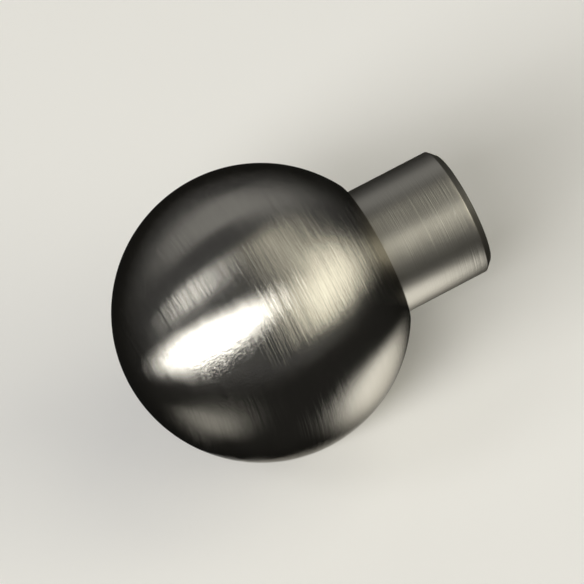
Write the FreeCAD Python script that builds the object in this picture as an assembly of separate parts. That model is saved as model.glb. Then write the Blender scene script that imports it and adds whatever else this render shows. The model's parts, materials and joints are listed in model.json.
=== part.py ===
import FreeCAD, Part
import math
import os

# Ball finial that plugs into the open end of a round metal curtain pole, turned in one piece. Millimetres.
# The origin is the centre of the flat seat that the cut end of the tube butts against.
# +X runs out along the spigot, the way the tube comes off, +Z is up and -Y faces the room.

# Round tube of the pole, whose sizes the finial is made to suit
tube_outside_diameter = 20.0
tube_wall = 1.0

# Ball, and the rounding where its skin turns in to the flat seat
ball_diameter = 38.0
seat_edge_rounding = 0.3

# Spigot: its length from the seat, its play in the tube all round, and the bevel that leads it in
spigot_length = 13.0
spigot_play = 0.45
lead_in = 1.0

origin = FreeCAD.Vector(0, 0, 0)
axis_x = FreeCAD.Vector(1, 0, 0)


def point(along, out):
    """A point of the half section: how far along the axis, and how far out from it."""
    return FreeCAD.Vector(along, 0, out)


def line(start, end):
    return Part.LineSegment(start, end).toShape()


def arc(start, centre, end):
    """The shorter way round a circle from start to end."""
    radius = (start - centre).Length
    middle = centre + ((start - centre) + (end - centre)).normalize() * radius
    return Part.Arc(start, middle, end).toShape()


def half_section():
    """The closed outline of the finial above its axis, from the tip of the ball to the spigot's end."""
    ball_radius = ball_diameter / 2
    seat_radius = tube_outside_diameter / 2
    spigot_radius = seat_radius - tube_wall - spigot_play

    # The ball is cut off flat where it is as wide as the tube.
    ball_centre = point(-math.sqrt(ball_radius**2 - seat_radius**2), 0)
    tip = ball_centre - axis_x * ball_radius
    crown = ball_centre + point(0, ball_radius)

    # The rounding touches the ball from inside and the seat from behind.
    rounding_inset = ball_radius - seat_edge_rounding
    rounding_along = -seat_edge_rounding - ball_centre.x
    rounding_centre = point(-seat_edge_rounding, math.sqrt(rounding_inset**2 - rounding_along**2))
    skin_end = ball_centre + (rounding_centre - ball_centre).normalize() * ball_radius
    seat_start = rounding_centre + axis_x * seat_edge_rounding

    spigot_root = point(0, spigot_radius)
    bevel_start = point(spigot_length - lead_in, spigot_radius)
    bevel_end = point(spigot_length, spigot_radius - lead_in)
    end_centre = point(spigot_length, 0)
    return Part.Wire([
        arc(tip, ball_centre, crown),
        arc(crown, ball_centre, skin_end),
        arc(skin_end, rounding_centre, seat_start),
        line(seat_start, spigot_root),
        line(spigot_root, bevel_start),
        line(bevel_start, bevel_end),
        line(bevel_end, end_centre),
        line(end_centre, tip),
    ])


finial = Part.Face(half_section()).revolve(origin, axis_x, 360)
os.makedirs("parts", exist_ok=True)
finial.exportStep("parts/finial.step")
print("finial valid", finial.isValid(), "volume mm3", round(finial.Volume, 1))
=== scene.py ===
import json
import math

import bmesh
import bpy
from mathutils import Matrix, Vector


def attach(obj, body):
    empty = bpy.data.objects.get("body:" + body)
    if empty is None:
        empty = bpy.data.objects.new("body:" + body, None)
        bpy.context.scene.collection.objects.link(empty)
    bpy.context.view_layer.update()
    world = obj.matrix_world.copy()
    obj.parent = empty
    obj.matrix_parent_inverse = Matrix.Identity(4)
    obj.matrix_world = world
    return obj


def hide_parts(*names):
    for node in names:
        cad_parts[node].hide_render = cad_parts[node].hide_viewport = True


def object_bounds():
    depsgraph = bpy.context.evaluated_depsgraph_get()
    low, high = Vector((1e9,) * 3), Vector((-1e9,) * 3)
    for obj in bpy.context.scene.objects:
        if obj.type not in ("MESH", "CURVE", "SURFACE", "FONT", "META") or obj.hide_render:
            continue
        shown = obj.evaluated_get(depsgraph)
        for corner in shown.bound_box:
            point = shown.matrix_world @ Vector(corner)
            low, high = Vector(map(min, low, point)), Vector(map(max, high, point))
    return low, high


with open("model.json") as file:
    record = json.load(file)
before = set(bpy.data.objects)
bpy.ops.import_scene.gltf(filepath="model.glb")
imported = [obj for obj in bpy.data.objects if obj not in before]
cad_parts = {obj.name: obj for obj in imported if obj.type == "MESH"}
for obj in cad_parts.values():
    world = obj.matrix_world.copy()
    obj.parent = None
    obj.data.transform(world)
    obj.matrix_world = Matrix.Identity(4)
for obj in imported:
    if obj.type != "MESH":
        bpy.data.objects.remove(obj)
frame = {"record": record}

cad_low, cad_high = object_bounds()


# Finial
# A ball cut off flat on one side, with a plain spigot that plugs in behind the flat. It is turned from a bar
# of metal on a lathe, the ball is brushed while it spins, and the whole is plated in satin nickel.
mounts = {mount["name"]: mount["dims"] for mount in frame["record"]["mounts"]}
spigot_radius = mounts["tube_spigot"]["r_mm"] / 1000
bevel_start = mounts["tube_spigot"]["length_mm"] / 1000
spigot_end = cad_high.x
bevel = spigot_end - bevel_start
ball_radius = cad_high.z
ball_centre = Vector((cad_low.x + ball_radius, 0, 0))
edge_rounding = 0.0003
bevel_rounding = 0.0002
root_rounding = 0.00015
merge_distance = 1e-7

# How many steps each stretch of the outline is cut in, from the tip of the ball to the end of the spigot,
# and how many the finial is spun in.
ball_steps = 200
edge_steps = 6
flat_steps = 6
root_steps = 5
spigot_steps = 50
corner_steps = 3
bevel_steps = 6
end_steps = 30
spin_steps = 240

axis_x = Vector((1, 0, 0))
axis_y = Vector((0, 1, 0))
axis_z = Vector((0, 0, 1))
full_turn = 2 * math.pi


def direction(azimuth, elevation):
    """A way out from the ball: azimuth 0 is towards the room, and 90 is the way that the spigot points."""
    a, e = math.radians(azimuth), math.radians(elevation)
    return Vector((math.sin(a) * math.cos(e), -math.cos(a) * math.cos(e), math.sin(e)))


def last_vertex(made):
    """The vertex that an outline has reached."""
    return [item for item in made["geom_last"] if isinstance(item, bmesh.types.BMVert)][0]


def cut_round(mesh, start, centre, angle, steps):
    """Carries the outline on from a vertex in an arc, and gives its last vertex."""
    made = bmesh.ops.spin(mesh, geom=[start], cent=centre, axis=axis_y, angle=angle, steps=steps)
    return last_vertex(made)


def cut_straight(mesh, start, end, steps):
    """Carries the outline on from a vertex in a straight line, and gives its last vertex."""
    stride = (end - start.co) / steps
    made = bmesh.ops.spin(mesh, geom=[start], axis=axis_y, dvec=stride, angle=0, steps=steps)
    return last_vertex(made)


def point(along, out):
    """A point of the outline: how far along the axis, and how far out from it."""
    return Vector((along, 0, out))


def turn_finial():
    """The outline from the tip of the ball to the end of the spigot, spun once about the axis."""
    mesh = bmesh.new()
    along = mesh.verts.layers.float.new("along")

    # The edge rounding touches the ball from inside and the flat from behind.
    rounding_out = math.sqrt((ball_radius - edge_rounding)**2 - (edge_rounding + ball_centre.x)**2)
    rounding_centre = point(-edge_rounding, rounding_out)
    skin_end = rounding_centre - ball_centre
    skin_angle = math.pi - math.atan2(skin_end.z, skin_end.x)
    vertex = mesh.verts.new(ball_centre - axis_x * ball_radius)
    vertex = cut_round(mesh, vertex, ball_centre, skin_angle, ball_steps)
    vertex = cut_round(mesh, vertex, rounding_centre, math.pi - skin_angle, edge_steps)

    # The nose of the tool leaves a small hollow rounding at the root of the spigot.
    root = point(0, spigot_radius + root_rounding)
    vertex = cut_straight(mesh, vertex, root, flat_steps)
    vertex = cut_round(mesh, vertex, root + axis_x * root_rounding, -math.pi / 2, root_steps)

    # The bevel's two corners are broken by a light stroke of a file. The outline turns as far at each.
    bevel_turn = math.pi / 4
    corner = bevel_rounding * math.tan(bevel_turn / 2)
    bend = point(bevel_start - corner, spigot_radius)
    vertex = cut_straight(mesh, vertex, bend, spigot_steps)
    vertex = cut_round(mesh, vertex, bend - axis_z * bevel_rounding, bevel_turn, corner_steps)
    bend = point(spigot_end, spigot_radius - bevel - corner)
    slope = (axis_z - axis_x).normalized()
    vertex = cut_straight(mesh, vertex, bend + corner * (axis_z + slope), bevel_steps)
    vertex = cut_round(mesh, vertex, bend - axis_x * bevel_rounding, bevel_turn, corner_steps)
    vertex = cut_straight(mesh, vertex, point(spigot_end, 0), end_steps)

    # Each vertex of the outline keeps its distance along the skin, for the brush marks to follow.
    distance = 0
    mesh.verts.ensure_lookup_table()
    for before, after in zip(mesh.verts[:-1], mesh.verts[1:]):
        distance += (after.co - before.co).length
        after[along] = distance
    outline = list(mesh.verts) + list(mesh.edges)
    bmesh.ops.spin(mesh, geom=outline, axis=axis_x, angle=full_turn, steps=spin_steps, use_merge=True)
    bmesh.ops.remove_doubles(mesh, verts=mesh.verts, dist=merge_distance)
    bmesh.ops.recalc_face_normals(mesh, faces=mesh.faces)

    # The ball has the first material, and the flat and the spigot have the second.
    just_behind_flat = -1e-6
    for face in mesh.faces:
        face.smooth = True
        face.material_index = int(face.calc_center_median().x > just_behind_flat)
    return mesh


class Wire:
    """One output of a material's node. Arithmetic on it adds Math nodes."""

    def __init__(self, finish, socket):
        self.finish = finish
        self.socket = socket

    def maths(self, operation, *values):
        return self.finish.node("ShaderNodeMath", {"operation": operation}, dict(enumerate(values)))

    def __add__(self, other):
        return self.maths("ADD", self, other)

    def __radd__(self, other):
        return self.maths("ADD", other, self)

    def __sub__(self, other):
        return self.maths("SUBTRACT", self, other)

    def __rsub__(self, other):
        return self.maths("SUBTRACT", other, self)

    def __mul__(self, other):
        return self.maths("MULTIPLY", self, other)

    def __rmul__(self, other):
        return self.maths("MULTIPLY", other, self)

    def __truediv__(self, other):
        return self.maths("DIVIDE", self, other)

    def __pow__(self, other):
        return self.maths("POWER", self, other)


class Finish:
    """A material being made. Every node is added by its one method."""

    def __init__(self, name):
        self.material = bpy.data.materials.new(name)
        self.material.use_nodes = True
        self.nodes = self.material.node_tree.nodes
        self.links = self.material.node_tree.links
        self.nodes.clear()

    def node(self, kind, settings, sockets, output=0):
        """Adds a node, sets it up, links or fills its sockets, and gives one of its outputs."""
        made = self.nodes.new(kind)
        for name, value in settings.items():
            setattr(made, name, value)
        for name, value in sockets.items():
            if isinstance(value, Wire):
                self.links.new(value.socket, made.inputs[name])
            else:
                made.inputs[name].default_value = value
        return Wire(self, made.outputs[output]) if made.outputs else None

    def cover(self, shader):
        """Puts the shader on the surface, and gives the finished material."""
        self.node("ShaderNodeOutputMaterial", {}, {"Surface": shader})
        return self.material


def along_the_skin(finish):
    """Distance along the skin from the tip of the ball, in metres."""
    return finish.node("ShaderNodeAttribute", {"attribute_name": "along"}, {}, "Fac")


def round_lines(finish, per_metre, breaks, detail):
    """A noise of so many lines to the metre, which run round the axis and fade in and out on their way."""
    place = finish.node("ShaderNodeTexCoord", {}, {}, "Object")
    y, z = [finish.node("ShaderNodeSeparateXYZ", {}, {"Vector": place}, axis) for axis in "YZ"]
    never_zero = 1e-5
    out = (y * y + z * z) ** 0.5 + never_zero
    parts = {"X": along_the_skin(finish) * per_metre, "Y": y / out * breaks, "Z": z / out * breaks}
    vector = finish.node("ShaderNodeCombineXYZ", {}, parts)
    values = {"Vector": vector, "Scale": 1.0, "Detail": detail, "Roughness": 0.6}
    return finish.node("ShaderNodeTexNoise", {}, values)


def patches(finish, per_metre, detail):
    """A noise without a direction, of so many patches to the metre."""
    place = finish.node("ShaderNodeTexCoord", {}, {}, "Object")
    return finish.node("ShaderNodeTexNoise", {}, {"Vector": place, "Scale": per_metre, "Detail": detail})


def rise(finish, value, low, high):
    """Goes smoothly from 0 to 1 while the value goes from low to high."""
    settings = {"interpolation_type": "SMOOTHSTEP"}
    return finish.node("ShaderNodeMapRange", settings, {"Value": value, "From Min": low, "From Max": high})


def spot(finish, middle, radius):
    """A round spot with a soft edge, 1 at its middle and 0 outside."""
    place = finish.node("ShaderNodeTexCoord", {}, {}, "Object")
    away = finish.node("ShaderNodeVectorMath", {"operation": "DISTANCE"}, {0: place, 1: middle}, "Value")
    return 1 - rise(finish, away, 0.5 * radius, 1.5 * radius)


def blend(finish, factor, first, second):
    """A mix of two colours, which go in at the node's sockets 6 and 7 and come out at its socket 2."""
    return finish.node("ShaderNodeMix", {"data_type": "RGBA"}, {"Factor": factor, 6: first, 7: second}, 2)


def nickel(finish, tone, roughness, height, depth):
    """Nickel plate over a relief of the given depth, lighter where the tone is high."""
    dull_nickel = (0.42, 0.405, 0.37, 1)
    clean_nickel = (0.465, 0.45, 0.41, 1)
    edge_tint = (0.40, 0.39, 0.375, 1)
    relief = finish.node("ShaderNodeBump", {}, {"Height": height, "Distance": depth})
    shader = finish.node("ShaderNodeBsdfPrincipled", {}, {
        "Base Color": blend(finish, tone, dull_nickel, clean_nickel),
        "Metallic": 1.0,
        "Specular Tint": edge_tint,
        "Roughness": roughness,
        "Normal": relief,
    })
    return finish.cover(shader)


def brushed_nickel():
    """The ball: hair lines from the brush, a few deeper, and a fine grain at its tip and one worn place."""
    finish = Finish("brushed_nickel")
    hair = round_lines(finish, per_metre=50000, breaks=0.5, detail=2)
    lines = round_lines(finish, per_metre=5000, breaks=0.8, detail=2)
    deep = rise(finish, round_lines(finish, per_metre=3000, breaks=1.2, detail=1), 0.60, 0.80)
    grain = patches(finish, per_metre=3000, detail=2)
    handled = patches(finish, per_metre=110, detail=2)
    near_tip = 1 - rise(finish, along_the_skin(finish), 0.006, 0.016)
    worn_place = ball_centre + direction(azimuth=-32, elevation=25) * ball_radius
    worn = spot(finish, worn_place, radius=0.006)
    height = hair * 0.55 + lines * 0.05 + grain * (near_tip * 0.7 + worn * 0.9) - deep * 0.03
    tone = rise(finish, lines * 0.5 + handled * 0.5, 0.3, 0.7)
    return nickel(finish, tone, 0.11 + lines * 0.04 + handled * 0.03, height, depth=0.00003)


def turned_nickel():
    """The flat and the spigot, hidden in use and left as the lathe cut them, so they are duller."""
    finish = Finish("turned_nickel")
    cut = round_lines(finish, per_metre=4500, breaks=0.15, detail=1)
    hair = round_lines(finish, per_metre=20000, breaks=0.5, detail=2)
    handled = patches(finish, per_metre=160, detail=2)
    return nickel(finish, handled, 0.30 + cut * 0.06 + handled * 0.06, cut + hair * 0.3, depth=0.00003)


finial = bpy.data.objects.new("finial_turned", bpy.data.meshes.new("finial_turned"))
bpy.context.scene.collection.objects.link(finial)
turned = turn_finial()
turned.to_mesh(finial.data)
turned.free()
finial.data.materials.append(brushed_nickel())
finial.data.materials.append(turned_nickel())
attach(finial, "root")
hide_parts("finial")


# Board
# A wide sheet of pale matt board, which the ball touches. It is part of the studio, and so is all that
# follows.
def pale_board():
    finish = Finish("pale_board")
    mottle = patches(finish, per_metre=3, detail=2)
    shader = finish.node("ShaderNodeBsdfPrincipled", {}, {
        "Base Color": blend(finish, mottle, (0.88, 0.875, 0.865, 1), (0.91, 0.905, 0.895, 1)),
        "Roughness": 0.9,
        "Specular IOR Level": 0.1,
    })
    return finish.cover(shader)


board_reach = 3.0
sheet = bmesh.new()
lay = Matrix.Translation(axis_z * -ball_radius)
bmesh.ops.create_grid(sheet, x_segments=1, y_segments=1, size=board_reach, matrix=lay)
board = bpy.data.objects.new("board", bpy.data.meshes.new("board"))
bpy.context.scene.collection.objects.link(board)
sheet.to_mesh(board.data)
sheet.free()
board.data.materials.append(pale_board())


# Painted reflections
# A black sheet lies on the board round the foot of the ball, so that the metal has black to mirror below it:
# a painted dark reflection. A glowing spot at its front right paints a bright reflection, and a grey spot at
# its front left paints a dimmer one. The sheet shows only as it is mirrored.
foot = ball_centre - axis_z * ball_radius
# Where the glowing spot of painted highlight and the grey spot of painted reflection lie on the sheet.
painted_highlight_middle = foot + direction(azimuth=43, elevation=0) * 0.028
painted_grey_middle = foot + direction(azimuth=-60, elevation=0) * 0.043
spot_radius = 0.013
hole_radius = 0.014
painted_reflection_radius = 2.0
painted_reflection_lift = 0.0002
painted_reflection_steps = 96


def painted_reflection_sheet():
    finish = Finish("painted_reflection_sheet")
    # The black paints a dark reflection in the metal, the front left spot a grey painted reflection, and the
    # glowing front right spot a painted highlight.
    painted_highlight = spot(finish, painted_highlight_middle, spot_radius)
    painted_grey_reflection = spot(finish, painted_grey_middle, spot_radius)
    black = (0.03, 0.03, 0.03, 1)
    pale = (0.9, 0.895, 0.885, 1)
    unlit = (0, 0, 0, 1)
    glow = (1.0, 0.98, 0.92, 1)
    shader = finish.node("ShaderNodeBsdfPrincipled", {}, {
        "Base Color": blend(finish, painted_highlight + painted_grey_reflection * 0.6, black, pale),
        "Emission Color": blend(finish, painted_highlight, unlit, glow),
        "Emission Strength": 1.0,
        "Roughness": 1.0,
        "Specular IOR Level": 0.0,
    })
    return finish.cover(shader)


hub = foot + axis_z * painted_reflection_lift
sheet = bmesh.new()
inner = sheet.verts.new(hub + axis_x * hole_radius)
outer = sheet.verts.new(hub + axis_x * painted_reflection_radius)
spoke = [inner, outer, sheet.edges.new([inner, outer])]
bmesh.ops.spin(sheet, geom=spoke, cent=hub, axis=axis_z, angle=full_turn, steps=painted_reflection_steps, use_merge=True)
bmesh.ops.recalc_face_normals(sheet, faces=sheet.faces)
painted_reflection_object = bpy.data.objects.new("painted_reflection_sheet", bpy.data.meshes.new("painted_reflection_sheet"))
bpy.context.scene.collection.objects.link(painted_reflection_object)
sheet.to_mesh(painted_reflection_object.data)
sheet.free()
painted_reflection_object.data.materials.append(painted_reflection_sheet())
# Hidden from the camera, from diffuse light and from shadows, the sheet only paints reflections in the
# metal.
painted_reflection_object.visible_camera = False
painted_reflection_object.visible_diffuse = False
painted_reflection_object.visible_shadow = False


# Lamps
# Soft boxes stand round the ball, each given by the direction in which the ball sees it. A large warm one
# faces its front right, and a long bright strip leans at its front left.
lamp_distance = 4.0


def soft_box(name, azimuth, elevation, wide, high, turned, brightness, colour):
    """A soft box so many degrees wide and high as the ball sees it, with its right end turned up.

    Its brightness is that of its face, so that a larger box gives more light.
    """
    lamp = bpy.data.lights.new(name, "AREA")
    lamp.shape = "RECTANGLE"
    lamp.size = 2 * lamp_distance * math.tan(math.radians(wide / 2))
    lamp.size_y = 2 * lamp_distance * math.tan(math.radians(high / 2))
    lamp.color = colour
    lamp.energy = brightness * math.pi * lamp.size * lamp.size_y
    stand = bpy.data.objects.new(name, lamp)
    towards = direction(azimuth, elevation)
    aim = towards.to_track_quat("Z", "Y").to_matrix().to_4x4()
    roll = Matrix.Rotation(math.radians(turned), 4, "Z")
    stand.matrix_world = Matrix.Translation(ball_centre + towards * lamp_distance) @ aim @ roll
    bpy.context.scene.collection.objects.link(stand)


warm = (1.0, 0.96, 0.80)
plain = (1.0, 0.99, 0.96)
soft_box("key", azimuth=58, elevation=25, wide=58, high=32, turned=-5, brightness=2.3, colour=warm)
soft_box("front_high", azimuth=10, elevation=50, wide=44, high=14, turned=5, brightness=0.8, colour=warm)
soft_box("strip", azimuth=-67, elevation=23, wide=88, high=16, turned=44, brightness=9.0, colour=plain)
soft_box("left_high", azimuth=-100, elevation=48, wide=17, high=18, turned=-20, brightness=3.0, colour=plain)
soft_box("overhead", azimuth=88, elevation=57, wide=36, high=26, turned=25, brightness=1.1, colour=warm)
soft_box("back", azimuth=172, elevation=38, wide=80, high=32, turned=0, brightness=0.28, colour=plain)

# The dim room beyond the lamps
dim_grey = (0.09, 0.09, 0.09, 1)
world = bpy.data.worlds.new("studio")
world.use_nodes = True
world.node_tree.nodes["Background"].inputs["Color"].default_value = dim_grey
bpy.context.scene.world = world


# Camera
# A long lens at the distance and the angle of the photograph. It is rolled until the spigot points up to the
# right as steeply as it does there.
camera_azimuth = -13
camera_elevation = 48
camera_distance = 0.775
view_width = 0.074
axis_rise = math.radians(27.5)
aim_at = Vector((-0.0115, 0, 0.0008))

lens = bpy.data.cameras.new("camera")
lens.lens = lens.sensor_width * camera_distance / view_width
lens.clip_start = 0.01
lens.clip_end = 10
camera = bpy.data.objects.new("camera", lens)
back = direction(camera_azimuth, camera_elevation)
facing = back.to_track_quat("Z", "Y").to_matrix()
seen = facing.transposed() @ axis_x
roll = Matrix.Rotation(math.atan2(seen.y, seen.x) - axis_rise, 4, "Z")
camera.matrix_world = Matrix.Translation(aim_at + back * camera_distance) @ facing.to_4x4() @ roll
bpy.context.scene.collection.objects.link(camera)
bpy.context.scene.camera = camera
bpy.context.scene.view_settings.view_transform = "Standard"
